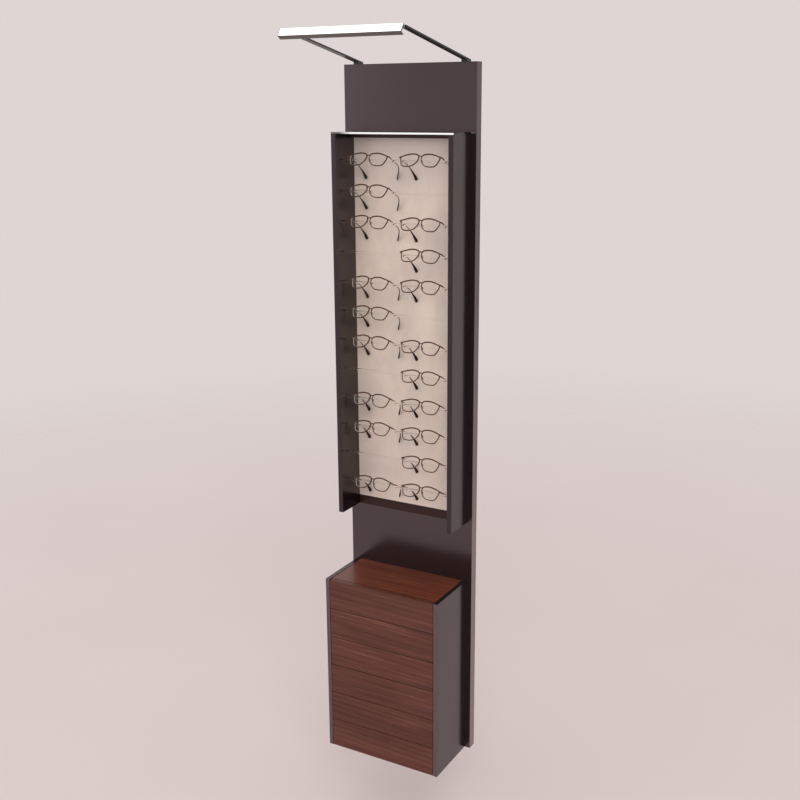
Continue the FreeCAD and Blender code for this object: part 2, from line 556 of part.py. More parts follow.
# Hinge brackets: a flange on the housing's rear face with two ears round the barrel.
c, s = math.cos(math.radians(S["head_tilt"])), math.sin(math.radians(S["head_tilt"]))
dy, dz = -S["pivot_y"] + S["head_y"], S["pivot_z"] - S["head_z"]
ply, plz = dy * c - dz * s, dy * s + dz * c  # the pivot in the head's own frame
brackets = []
for side in ("left", "right"):
    ears = []
    x_in = "-arm_out" if side == "left" else "arm_out - arm_w"
    ear_w = "(arm_w - barrel_w) / 2 - 0.25"
    for n, off in enumerate(("0", "(arm_w + barrel_w) / 2 + 0.25")):
        b = new_body("ear_%s_%d_body" % (side, n))
        sk = sketch(b, "ear_%s_%d_outline" % (side, n), "YZ_Plane")
        polygon(sk, [("head_plate", "8"), ("head_plate + 1.4", "8"), ("%.4f" % (ply - 1.6), "%.4f" % (plz - 6.0)), ("%.4f" % (ply + 2.4), "%.4f" % (plz - 2.6)),
                     ("%.4f" % (ply + 3.4), "%.4f" % plz), ("%.4f" % (ply + 2.2), "%.4f" % (plz + 2.2)), ("head_plate", "%.4f" % (plz + 2.2))])
        pad(b, sk, "ear_%s_%d_plate" % (side, n), ear_w)
        ears.append(on_head(b, x_in + " + " + off))
    b = new_body("flange_%s_body" % side)
    sk = sketch(b, "flange_%s_outline" % side, "YZ_Plane")
    rect(sk, "head_plate", "8", "1.4", "8")
    pad(b, sk, "flange_%s_plate" % side, "arm_w")
    ears.append(on_head(b, x_in))
    brackets.append(fuse("bracket_%s" % side, ears))
pins = []
for side in ("left", "right"):
    pins.append(cyl_x("pin_%s" % side, "-arm_out" if side == "left" else "arm_out - arm_w", "-pivot_y", "pivot_z", "pivot_rad - 0.05", "arm_w"))
keep("lamp_hinge_pins", group("lamp_hinge_pin_group", pins))
keep("lamp_hinge_brackets", group("lamp_bracket_group", [
    cut("bracket_%s_drilled" % side, brackets[n], pins[n]) for n, side in enumerate(("left", "right"))]))

# ------------------------------------------------------------------- spectacles
# One pair is modelled about the middle of its bridge and repeated at the places
# that hold one. The front leans back, and the temples fall towards the board, where
# the bends of the ear pieces rest; a rod carries both temples just behind the front.
doc.recompute()
UP = V(0, 22.2, 35.5)
UP.normalize()                       # up the front's face
OUT = V(0, -UP.z, UP.y)              # out of the face, towards the viewer
RIM = [(6.0, -1.0), (8.6, 6.0), (15.0, 9.0), (25.0, 10.8), (34.0, 10.6), (44.0, 8.6), (54.0, 5.6), (64.5, 1.6), (63.8, -5.5), (61.2, -14.5),
       (57.0, -23.5), (50.5, -29.3), (42.0, -31.0), (33.0, -30.5), (23.0, -27.8), (14.8, -22.2), (9.0, -14.5), (6.2, -7.0)]


def at(x, t, n=0.0):
    return V(x, 0, 0) + UP * t + OUT * n


def outline(side, shrink=0.0):
    cx = sum(p[0] for p in RIM) / len(RIM)
    cy = sum(p[1] for p in RIM) / len(RIM)
    pts = []
    for x, t in RIM:
        dx, dt = x - cx, t - cy
        r = math.hypot(dx, dt)
        q = (r - shrink) / r
        pts.append(at(side * (cx + dx * q), cy + dt * q))
    curve = Part.BSplineCurve()
    curve.interpolate(pts, PeriodicFlag=True)
    return Part.Wire([curve.toShape()])


def slab(wire, thick, lift):
    face = Part.Face(wire)
    solid = face.extrude(OUT * thick)
    solid.translate(OUT * lift)
    return solid


def bar(a, b, wide, tall, up):
    """Square-cut bar from a to b."""
    axis = (b - a)
    n = axis.Length
    axis.normalize()
    side = axis.cross(up)
    side.normalize()
    top = side.cross(axis)
    corners = [a + side * (wide / 2 * i) + top * (tall / 2 * j) for i, j in ((-1, -1), (1, -1), (1, 1), (-1, 1))]
    face = Part.Face(Part.makePolygon(corners + [corners[0]]))
    return face.extrude(axis * n)


TH = S["gl_front_thk"]
rims = []
for side in (-1, 1):
    ring = slab(outline(side, -S["gl_rim_w"] / 2), TH, -TH / 2).cut(slab(outline(side, S["gl_rim_w"] / 2), TH + 2, -TH / 2 - 1))
    rims.append(ring)
    rims.append(bar(at(side * 61.5, 0.4), at(side * 72.4, 0.4), TH, 4.2, UP))
bridge = Part.Face(Part.makePolygon([at(-8.5, 1.0), at(-4.0, 4.6), at(4.0, 4.6), at(8.5, 1.0), at(8.5, -1.8), at(3.6, 1.6), at(-3.6, 1.6), at(-8.5, -1.8), at(-8.5, 1.0)])).extrude(OUT * TH)
bridge.translate(OUT * (-TH / 2))
front = rims[0].fuse(rims[1:] + [bridge]).removeSplitter()
lenses = [slab(outline(side, S["gl_rim_w"] / 2), S["gl_lens_thk"], -S["gl_lens_thk"] / 2) for side in (-1, 1)]
temples = []
for side in (-1, 1):
    hinge = at(side * 70.6, 0.4, -TH / 2)
    bend = V(side * 55.5, 79.6, -36.4)
    tip = V(side * 50.0, 75.2, -71.0)
    straight = bar(hinge, bend, 2.4, 4.0, V(0, 0, 1))
    hook = bar(bend + (bend - tip).normalize() * 1.6, tip, 2.8, 4.6, V(0, -1, 0)).cut(straight)
    hook = max(hook.Solids, key=lambda q: q.Volume)
    straight = straight.cut(front)
    straight = max(straight.Solids, key=lambda q: q.Volume)
    temples += [straight, hook]
pair = Part.makeCompound([front] + lenses + temples)
print("spectacles solids", len(pair.Solids), "valid", pair.isValid(), "box", pair.BoundBox)
FULL = {"left": (1, 2, 3, 5, 6, 7, 9, 10, 12), "right": (1, 3, 4, 5, 7, 8, 9, 10, 11, 12)}
for column, rows in FULL.items():
    for row in rows:
        g = doc.addObject("Part::Feature", "glasses_%s_%02d_feature" % (column, row))
        g.Shape = pair.copy()
        g.Placement = FreeCAD.Placement(V((-1 if column == "left" else 1) * S["gl_col_x"], -S["gl_front_y"], S["gl_row_z"] - S["row_pitch"] * (row - 1)), FreeCAD.Rotation())
        keep("glasses_%s_%02d" % (column, row), g)

# ------------------------------------------------------------- check and write
doc.recompute()
bad = [o.Name for o in doc.Objects if "Invalid" in o.State or "Error" in o.State]
if bad:
    raise RuntimeError("failed objects: %s" % bad)
os.makedirs("parts", exist_ok=True)
for old in os.listdir("parts"):
    if old.endswith(".step"):
        os.remove(os.path.join("parts", old))
for label, obj in PARTS:
    shape = obj.Shape
    if shape.isNull() or not shape.isValid() or not shape.Solids:
        raise RuntimeError("bad shape: " + label)
    shape.exportStep(os.path.join("parts", label + ".step"))
    b = shape.BoundBox
    print("%-22s solids %2d  vol %10.0f  x %.1f..%.1f y %.1f..%.1f z %.1f..%.1f" % (label, len(shape.Solids), shape.Volume, b.XMin, b.XMax, b.YMin, b.YMax, b.ZMin, b.ZMax))
print(len(PARTS), "sub-parts written")
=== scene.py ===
import math

import bpy
import bmesh
from mathutils import Matrix, Vector


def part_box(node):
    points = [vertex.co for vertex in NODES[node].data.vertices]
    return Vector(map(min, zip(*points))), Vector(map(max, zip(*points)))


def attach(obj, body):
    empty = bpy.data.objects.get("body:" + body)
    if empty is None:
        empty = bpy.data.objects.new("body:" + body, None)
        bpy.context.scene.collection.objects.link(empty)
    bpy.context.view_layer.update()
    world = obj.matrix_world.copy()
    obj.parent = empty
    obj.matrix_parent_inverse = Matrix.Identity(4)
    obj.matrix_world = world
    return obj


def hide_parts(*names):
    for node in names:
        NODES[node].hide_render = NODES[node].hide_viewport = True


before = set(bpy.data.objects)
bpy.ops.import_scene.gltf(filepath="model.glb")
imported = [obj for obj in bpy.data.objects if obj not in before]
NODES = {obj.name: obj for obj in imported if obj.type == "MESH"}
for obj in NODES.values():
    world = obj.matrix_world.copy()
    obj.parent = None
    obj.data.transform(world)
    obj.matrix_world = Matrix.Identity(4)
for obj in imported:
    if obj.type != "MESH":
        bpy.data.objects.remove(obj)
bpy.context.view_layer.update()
MM = 0.001


# ---------------------------------------------------------------- node helpers
class Mat:
    """A material whose nodes are made with short calls."""

    def __init__(self, name):
        self.m = bpy.data.materials.new(name)
        self.m.use_nodes = True
        self.t = self.m.node_tree
        self.t.nodes.clear()
        self.out = self.t.nodes.new("ShaderNodeOutputMaterial")
        self.b = self.t.nodes.new("ShaderNodeBsdfPrincipled")
        self.t.links.new(self.b.outputs[0], self.out.inputs[0])

    def n(self, kind, **props):
        node = self.t.nodes.new("ShaderNode" + kind)
        for k, v in props.items():
            setattr(node, k, v)
        return node

    def link(self, a, b):
        self.t.links.new(a, b)

    def set(self, **kw):
        for k, v in kw.items():
            name = {
                "color": "Base Color", "rough": "Roughness", "metal": "Metallic", "ior": "IOR", "coat": "Coat Weight", "coat_rough": "Coat Roughness",
                "coat_ior": "Coat IOR", "spec": "Specular IOR Level", "trans": "Transmission Weight", "emit": "Emission Color", "emit_k": "Emission Strength",
                "alpha": "Alpha", "sub": "Subsurface Weight", "tint": "Specular Tint"}[k]
            sock = self.b.inputs[name]
            if hasattr(v, "is_linked") or isinstance(v, bpy.types.NodeSocket):
                self.link(v, sock)
            elif name in ("Base Color", "Emission Color", "Specular Tint"):
                sock.default_value = (*v, 1.0)
            else:
                sock.default_value = v
        return self

    def coords(self, scale=(1, 1, 1), loc=(0, 0, 0), rot=(0, 0, 0)):
        tc = self.n("TexCoord")
        mp = self.n("Mapping")
        mp.inputs["Scale"].default_value = scale
        mp.inputs["Location"].default_value = loc
        mp.inputs["Rotation"].default_value = rot
        self.link(tc.outputs["Object"], mp.inputs["Vector"])
        return mp.outputs["Vector"]

    def noise(self, vec, scale, detail=3.0, rough=0.5, distort=0.0):
        x = self.n("TexNoise")
        x.inputs["Scale"].default_value = scale
        x.inputs["Detail"].default_value = detail
        x.inputs["Roughness"].default_value = rough
        x.inputs["Distortion"].default_value = distort
        self.link(vec, x.inputs["Vector"])
        return x.outputs["Fac"]

    def wave(self, vec, scale, distort, detail=2.0, dscale=1.0, direction="Z", profile="SAW"):
        x = self.n("TexWave", wave_type="BANDS", bands_direction=direction, wave_profile=profile)
        x.inputs["Scale"].default_value = scale
        x.inputs["Distortion"].default_value = distort
        x.inputs["Detail"].default_value = detail
        x.inputs["Detail Scale"].default_value = dscale
        self.link(vec, x.inputs["Vector"])
        return x.outputs["Fac"]

    def ramp(self, fac, stops, interp="LINEAR"):
        x = self.n("ValToRGB")
        x.color_ramp.interpolation = interp
        els = x.color_ramp.elements
        while len(els) < len(stops):
            els.new(0.5)
        for e, (p, c) in zip(els, stops):
            e.position = p
            e.color = (*c, 1.0) if len(c) == 3 else c
        self.link(fac, x.inputs["Fac"])
        return x.outputs["Color"]

    def mix(self, fac, a, b, blend="MIX"):
        x = self.n("Mix", data_type="RGBA", blend_type=blend)
        ins = {"f": x.inputs[0], "a": x.inputs[6], "b": x.inputs[7]}
        for key, v in (("f", fac), ("a", a), ("b", b)):
            if isinstance(v, bpy.types.NodeSocket):
                self.link(v, ins[key])
            elif key == "f":
                ins[key].default_value = v
            else:
                ins[key].default_value = (*v, 1.0)
        return x.outputs[2]

    def math(self, op, a, b=0.0, clamp=False):
        x = self.n("Math", operation=op, use_clamp=clamp)
        for i, v in enumerate((a, b)):
            if isinstance(v, bpy.types.NodeSocket):
                self.link(v, x.inputs[i])
            else:
                x.inputs[i].default_value = v
        return x.outputs[0]

    def remap(self, v, a, b, c, d):
        x = self.n("MapRange")
        for i, w in enumerate((v, a, b, c, d)):
            if isinstance(w, bpy.types.NodeSocket):
                self.link(w, x.inputs[i])
            else:
                x.inputs[i].default_value = w
        return x.outputs[0]

    def axis(self, which):
        """One object coordinate, in metres."""
        tc = self.n("TexCoord")
        sep = self.n("SeparateXYZ")
        self.link(tc.outputs["Object"], sep.inputs[0])
        return sep.outputs[which]

    def bump(self, height, strength, dist):
        x = self.n("Bump")
        x.inputs["Strength"].default_value = strength
        x.inputs["Distance"].default_value = dist
        self.link(height, x.inputs["Height"])
        self.link(x.outputs["Normal"], self.b.inputs["Normal"])
        return x


def srgb(r, g, b):
    f = lambda c: c / 255 / 12.92 if c <= 10 else ((c / 255 + 0.055) / 1.055) ** 2.4
    return (f(r), f(g), f(b))


# ------------------------------------------------------------------- materials
def lacquer(name, base, grain_axis="Z", rough=0.2, edge=None, front=None, ior=1.88):
    """Near-black brown lacquer: clear satin reflections, faint grain and dust-fine texture under it."""
    m = Mat(name)
    squeeze = {"Z": (60, 60, 3.0), "X": (3.0, 60, 60)}[grain_axis]
    v = m.coords(scale=squeeze)
    g = m.noise(v, 4.0, 5.0, 0.6)
    cloud = m.noise(m.coords(scale=(3, 3, 1.5)), 2.0, 2.0)
    col = m.ramp(g, [(0.30, tuple(c * 0.80 for c in base)), (0.70, tuple(c * 1.22 for c in base))])
    col = m.mix(m.remap(cloud, 0.3, 0.7, 0.0, 0.35), col, tuple(c * 1.35 for c in base))
    fine = m.noise(m.coords(), 900.0, 2.0)
    r = m.math("ADD", m.remap(cloud, 0.2, 0.8, rough - 0.03, rough + 0.04), m.remap(fine, 0.3, 0.7, -0.012, 0.012))
    if edge:
        # Painted light on the two long side faces: a paler, duller band stands in for the brighter reflection there,
        # strongest at the foot and fading out upwards.
        at = m.math("GREATER_THAN", m.math("ABSOLUTE", m.axis("X")), edge)
        painted_light_fade = m.remap(m.axis("Z"), 0.75, 1.50, 1.0, 0.04)
        col = m.mix(m.math("MULTIPLY", at, painted_light_fade), col, (0.135, 0.105, 0.108))
    # Painted highlight: faces in front of the given depth are painted paler, standing in for the light caught along
    # the lit front edges.
    if front:
        col = m.mix(m.math("LESS_THAN", m.axis("Y"), front), col, (0.075, 0.050, 0.050))
    m.set(color=col, rough=r, ior=ior, tint=(1.0, 0.80, 0.86))
    m.bump(m.noise(m.coords(scale=(1, 1, 1)), 38.0, 2.0), 0.012, 0.002)
    return m.m


def walnut(name, seed, dark=1.0, spec=0.3, coat=0.12, under=0.0, hue=(1.0, 1.0, 1.0)):
    """Red walnut veneer, grain running left to right, with long figure, pores and a satin film."""
    m = Mat(name)
    off = (0.37 * seed, 1.7 * seed, 0.91 * seed)
    v = m.coords(scale=(1.0, 9.0, 9.0), loc=off)
    warp = m.noise(v, 1.6, 3.0, 0.55, 0.6)
    figure = m.noise(m.coords(scale=(2.6, 58.0, 58.0), loc=off), 2.2, 5.0, 0.62, 0.5)
    bands = m.wave(m.coords(scale=(0.5, 13.0, 13.0), loc=off), 2.6, 6.0, 3.0, 1.0, "DIAGONAL", "SIN")
    broad = m.noise(m.coords(scale=(1.1, 17.0, 17.0), loc=off, rot=(0.0, 0.02, 0.0)), 2.0, 3.0, 0.5, 0.9)
    fibre = m.noise(m.coords(scale=(14.0, 420.0, 420.0), loc=off), 3.0, 3.0, 0.6)
    pores = m.noise(m.coords(scale=(40.0, 1300.0, 1300.0), loc=off), 1.6, 2.0, 0.5)
    k = dark
    c0, c1, c2, c3 = [tuple(x * k * h for x, h in zip(c, hue)) for c in ((0.056, 0.0140, 0.0090), (0.088, 0.0245, 0.0160), (0.112, 0.0345, 0.0220), (0.158, 0.0580, 0.0380))]
    a = m.ramp(m.math("ADD", m.math("MULTIPLY", figure, 0.40), m.math("ADD", m.math("MULTIPLY", bands, 0.10), m.math("MULTIPLY", broad, 0.50))), [(0.35, c0), (0.44, c1), (0.54, c2), (0.64, c3)])
    col = m.mix(m.remap(warp, 0.35, 0.70, 0.0, 0.45), a, c1)
    col = m.mix(m.remap(fibre, 0.40, 0.75, 0.0, 0.35), col, tuple(x * 0.55 for x in c1))
    col = m.mix(m.remap(pores, 0.62, 0.72, 0.0, 0.45), col, tuple(x * 0.35 for x in c0))
    if under:
        # Painted shade: the edges that face the neighbouring fronts are painted near-black, standing in for the shade
        # in the gaps between the fronts.
        tc = m.n("TexCoord")
        sep = m.n("SeparateXYZ")
        m.link(tc.outputs["Normal"], sep.inputs[0])
        z = m.math("ABSOLUTE", sep.outputs["Z"]) if under > 1 else m.math("MULTIPLY", sep.outputs["Z"], -1.0)
        col = m.mix(m.math("GREATER_THAN", z, 0.9), col, (0.006, 0.002, 0.0015))
    m.set(color=col, rough=m.remap(fibre, 0.3, 0.7, 0.34, 0.44), ior=1.5, spec=spec, coat=coat, coat_rough=0.2, coat_ior=1.5)
    m.bump(m.math("ADD", m.math("MULTIPLY", fibre, 0.7), m.math("MULTIPLY", pores, 0.5)), 0.06, 0.0006)
    return m.m


def light_wood(name, base, seed=0.0, axis=0):
    m = Mat(name)
    sc = [220.0, 220.0, 220.0]
    sc[axis] = 8.0
    v = m.coords(scale=tuple(sc), loc=(seed, seed * 2, seed * 3))
    g = m.noise(v, 2.0, 4.0, 0.6)
    big = m.noise(m.coords(scale=tuple(s / 12 for s in sc), loc=(seed, 0, seed)), 3.0, 3.0, 0.5, 0.5)
    col = m.ramp(g, [(0.3, tuple(c * 0.72 for c in base)), (0.7, tuple(c * 1.12 for c in base))])
    col = m.mix(m.remap(big, 0.35, 0.65, 0.0, 0.4), col, tuple(c * 0.8 for c in base))
    m.set(color=col, rough=m.remap(g, 0.3, 0.7, 0.42, 0.55))
    m.bump(g, 0.08, 0.0004)
    return m.m


def board_material():
    """Cream board: satin, with faint cloudy tone; painted shade greys the top under the cover plate and darkens the
    foot a little.
    """
    m = Mat("cream_board")
    cloud = m.noise(m.coords(scale=(3.0, 3.0, 1.9), loc=(3.1, 0.0, 7.7)), 2.8, 3.0, 0.55, 0.5)
    fine = m.noise(m.coords(), 520.0, 3.0)
    tc = m.n("TexCoord")
    sep = m.n("SeparateXYZ")
    m.link(tc.outputs["Object"], sep.inputs[0])
    # Painted shade: the top is greyed where the cover plate shades it, and the foot is darkened a little.
    up = m.remap(sep.outputs["Z"], 1.80, 1.99, 0.0, 1.0)
    low = m.remap(sep.outputs["Z"], 0.84, 1.15, 1.0, 0.0)
    base = m.ramp(cloud, [(0.30, (0.76, 0.685, 0.61)), (0.50, (0.87, 0.76, 0.665)), (0.70, (0.95, 0.83, 0.72))])
    col = m.mix(m.math("MULTIPLY", up, 0.85), base, (0.645, 0.575, 0.55))
    col = m.mix(m.math("MULTIPLY", low, 0.45), col, (0.72, 0.60, 0.55))
    col = m.mix(m.remap(fine, 0.35, 0.65, 0.0, 0.06), col, (0.7, 0.6, 0.5))
    m.set(color=col, rough=m.remap(fine, 0.3, 0.7, 0.24, 0.31), ior=1.5)
    m.bump(fine, 0.02, 0.0004)
    return m.m


def clear(name, tint, rough, ior=1.49, painted_highlight_edge=False):
    """Clear acrylic: mostly see-through, with fine haze; an optional painted highlight glows along its front edge."""
    m = Mat(name)
    fine = m.noise(m.coords(), 260.0, 2.0)
    m.set(color=tint, rough=m.remap(fine, 0.3, 0.7, max(rough - 0.01, 0.0), rough + 0.015), trans=1.0, ior=ior)
    if painted_highlight_edge:
        # Painted highlight: the plate's front edge glows white, fading towards its left end, standing in for a
        # reflected highlight; the plate holds no lamp.
        front = m.math("LESS_THAN", m.axis("Y"), -0.1408)
        along = m.remap(m.axis("X"), -0.175, -0.135, 0.12, 1.0)
        m.set(emit=m.mix(m.math("MULTIPLY", front, along), (0.0, 0.0, 0.0), (0.96, 0.94, 0.93)), emit_k=1.0)
    return m.m


def metal(name, base, rough, scratch_axis=0, metallic=1.0):
    m = Mat(name)
    sc = [160.0, 160.0, 160.0]
    sc[scratch_axis] = 4.0
    g = m.noise(m.coords(scale=tuple(sc)), 3.0, 3.0, 0.6)
    col = m.ramp(g, [(0.3, tuple(c * 0.85 for c in base)), (0.7, tuple(c * 1.1 for c in base))])
    m.set(color=col, rough=m.remap(g, 0.3, 0.7, rough - 0.04, rough + 0.05), metal=metallic)
    m.bump(g, 0.02, 0.0003)
    return m.m


def powder(name, base, rough=0.38, spec=0.5):
    """Powder coat: tiny orange-peel texture."""
    m = Mat(name)
    fine = m.noise(m.coords(), 700.0, 3.0)
    cloud = m.noise(m.coords(scale=(5, 5, 5)), 2.0, 2.0)
    col = m.mix(m.remap(cloud, 0.3, 0.7, 0.0, 0.5), base, tuple(c * 1.25 for c in base))
    m.set(color=col, rough=m.remap(fine, 0.3, 0.7, rough - 0.05, rough + 0.06), spec=spec)
    m.bump(fine, 0.10, 0.0003)
    return m.m


def plastic(name, base, rough, coat=0.0, tint=(1.0, 1.0, 1.0), spec=0.5):
    m = Mat(name)
    fine = m.noise(m.coords(), 600.0, 3.0)
    cloud = m.noise(m.coords(scale=(30, 30, 30)), 2.0, 2.0)
    col = m.mix(m.remap(cloud, 0.3, 0.7, 0.0, 0.4), base, tuple(min(1.0, c * 1.3) for c in base))
    m.set(color=col, rough=m.remap(fine, 0.3, 0.7, rough - 0.03, rough + 0.04), coat=coat, coat_rough=0.08, tint=tint, spec=spec)
    m.bump(fine, 0.03, 0.0003)
    return m.m


def diffuser_material():
    m = Mat("lamp_diffuser")
    fine = m.noise(m.coords(scale=(1, 4, 4)), 300.0, 2.0)
    glow = m.ramp(fine, [(0.3, (0.97, 0.965, 0.955)), (0.7, (1.0, 0.995, 0.985))])
    m.set(color=(0.9, 0.9, 0.89), rough=0.42, emit=glow, emit_k=1.15)
    return m.m


DARK = (0.0042, 0.0017, 0.0015)
PANEL = lacquer("lacquer_panel", DARK, "Z", 0.2, 0.2229)
LACQUER = lacquer("lacquer_boards", DARK, ior=1.64)
LACQUER_CAB = lacquer("lacquer_cabinet", DARK, "Z", 0.2, None, -0.2314, 1.74)
RAIL = lacquer("lacquer_rail", (0.024, 0.0085, 0.0062), "X", 0.34, ior=1.40)
BOARD = board_material()
ROD = clear("rod_acrylic", (0.99, 0.985, 0.975), 0.03, 1.21)
COVER = clear("cover_acrylic", (0.95, 0.96, 0.95), 0.05, 1.49, True)
ARM = powder("arm_powder_coat", (0.010, 0.008, 0.0085), 0.34)
HEAD = metal("lamp_anodised", (0.165, 0.155, 0.152), 0.36, 0, 0.9)
STEEL = metal("screw_steel", (0.55, 0.54, 0.52), 0.28)
ALU = metal("mill_aluminium", (0.62, 0.62, 0.63), 0.34)
PCB = plastic("led_board", (0.65, 0.66, 0.63), 0.35)
CASE = plastic("driver_case", (0.028, 0.028, 0.030), 0.42)
PLY = [light_wood("box_ply_%d" % k, (0.50, 0.35, 0.20), 0.7 * k, 1) for k in range(1, 7)]
RUNNER = light_wood("runner_beech", (0.42, 0.26, 0.14), 2.2, 1)
FRONTS = [walnut("walnut_front_%d" % k, float(k) * 1.31, (1.13, 1.20, 1.22, 1.17, 1.12, 1.19)[k - 1], 0.3, 0.12, 1 if k == 1 else 2) for k in range(1, 7)]
TOP = walnut("walnut_top", 9.4, 1.25, 0.3, 0.4, 0.0, (1.28, 1.05, 0.70))
BOTTOM = walnut("walnut_bottom", 5.6)
DIFF = diffuser_material()

looks = {
    "back_panel": PANEL, "cheek_left": LACQUER, "cheek_right": LACQUER, "top_rail": RAIL, "bottom_rail": RAIL,
    "cabinet_side_left": LACQUER_CAB, "cabinet_side_right": LACQUER_CAB, "wall_cleat": ALU, "panel_cleat": ALU, "display_board": BOARD,
    "cover_plate": COVER, "display_rods": ROD, "lamp_arm_left": ARM, "lamp_arm_right": ARM, "lamp_screws": STEEL, "lamp_driver": CASE, "power_inlet": CASE,
    "cabinet_top": TOP, "cabinet_bottom": BOTTOM, "drawer_runners": RUNNER, "push_latches": CASE, "panel_screws": STEEL, "cleat_screws": STEEL,
    "lamp_housing": HEAD, "lamp_diffuser": DIFF, "lamp_led_board": PCB, "lamp_end_caps": HEAD, "lamp_hinge_brackets": HEAD, "lamp_hinge_pins": STEEL,
}
for k in range(1, 7):
    looks["drawer_front_%d" % k] = FRONTS[k - 1]
    looks["drawer_box_%d" % k] = PLY[k - 1]
for name, mat in looks.items():
    me = NODES[name].data
    me.materials.clear()
    me.materials.append(mat)
    for p in me.polygons:
        p.material_index = 0

# ----------------------------------------------------------------- spectacles
# A pair is built about the middle of its bridge, in metres: the front's plane
# leans back, the temples fall to the board and end in flat, slightly hooked tips.
UP = Vector((0, 22.2, 35.5)).normalized()
OUT = Vector((0, -UP.z, UP.y))
RIM = [(4.6, -1.0), (6.6, 5.6), (13.4, 9.2), (24.4, 10.8), (34.0, 10.6), (44.0, 8.6), (54.0, 5.6), (62.6, 2.2), (63.6, -5.5), (60.8, -14.5),
       (57.4, -22.6), (51.4, -27.9), (42.0, -29.4), (33.0, -29.3), (23.0, -27.4), (14.4, -22.2), (8.6, -15.0), (5.2, -7.5)]


def face_pt(x, t, n=0.0):
    """A point on the front: x across, t up the front, n out of it, with a slight wrap."""
    wrap = -((abs(x) / 70.0) ** 2) * 2.2
    return (Vector((x, 0, 0)) + UP * t + OUT * (n + wrap)) * MM


def smooth_loop(pts, n):
    """Closed Catmull-Rom curve through pts, n samples evenly spaced."""
    m = len(pts)
    dense = []
    for i in range(m):
        p0, p1, p2, p3 = (Vector(pts[(i + j - 1) % m]) for j in range(4))
        for s in range(24):
            t = s / 24
            dense.append(0.5 * ((2 * p1) + (p2 - p0) * t + (2 * p0 - 5 * p1 + 4 * p2 - p3) * t * t + (3 * p1 - p0 - 3 * p2 + p3) * t ** 3))
    lens = [0.0]
    for i in range(len(dense)):
        lens.append(lens[-1] + (dense[(i + 1) % len(dense)] - dense[i]).length)
    total, out, j = lens[-1], [], 0
    for k in range(n):
        d = total * k / n
        while lens[j + 1] < d:
            j += 1
        f = (d - lens[j]) / (lens[j + 1] - lens[j])
        out.append(dense[j].lerp(dense[(j + 1) % len(dense)], f))
    return out


def smooth_path(pts, n):
    """Open Catmull-Rom curve through 3-D pts with a value in each 4th place carried along."""
    P = [Vector(p) for p in pts]
    P = [2 * P[0] - P[1]] + P + [2 * P[-1] - P[-2]]
    out = []
    segs = len(P) - 3
    for k in range(n + 1):
        u = k / n * segs
        i = min(int(u), segs - 1)
        t = u - i
        p0, p1, p2, p3 = P[i:i + 4]
        out.append(0.5 * ((2 * p1) + (p2 - p0) * t + (2 * p0 - 5 * p1 + 4 * p2 - p3) * t * t + (3 * p1 - p0 - 3 * p2 + p3) * t ** 3))
    return out


def section(wide, tall, n=10, power=2.6):
    """Rounded oblong section, wide by tall, as unit offsets."""
    pts = []
    for k in range(n):
        a = 2 * math.pi * k / n
        c, s = math.cos(a), math.sin(a)
        r = (abs(c) ** power + abs(s) ** power) ** (-1 / power)
        pts.append((c * r * wide / 2, s * r * tall / 2))
    return pts


def loft(bm, rings, closed=False, mat=0, caps=True):
    vs = [[bm.verts.new(p) for p in ring] for ring in rings]
    n = len(vs[0])
    m = len(vs)
    for i in range(m if closed else m - 1):
        a, b = vs[i], vs[(i + 1) % m]
        for k in range(n):
            f = bm.faces.new((a[k], a[(k + 1) % n], b[(k + 1) % n], b[k]))
            f.material_index = mat
            f.smooth = True
    if not closed and caps:
        for ring in (vs[0], vs[-1]):
            f = bm.faces.new(ring)
            f.material_index = mat
            f.smooth = True
    return vs


def sweep(bm, path, sizes, up, mat=0, n=10):
    """Lofts a rounded section along a path of points, its tall side towards up."""
    rings = []
    for i, p in enumerate(path):
        a = path[max(i - 1, 0)]
        b = path[min(i + 1, len(path) - 1)]
        axis = (b - a).normalized()
        side = axis.cross(up(i) if callable(up) else up).normalized()
        tall = side.cross(axis).normalized()
        w, t = sizes(i / (len(path) - 1))
        rings.append([p + (side * x + tall * y) * MM for x, y in section(w, t, n)])
    loft(bm, rings, False, mat)


FRAME_MAT, TEMPLE_MAT, TIP_MAT, PAD_MAT, HINGE_MAT = range(5)


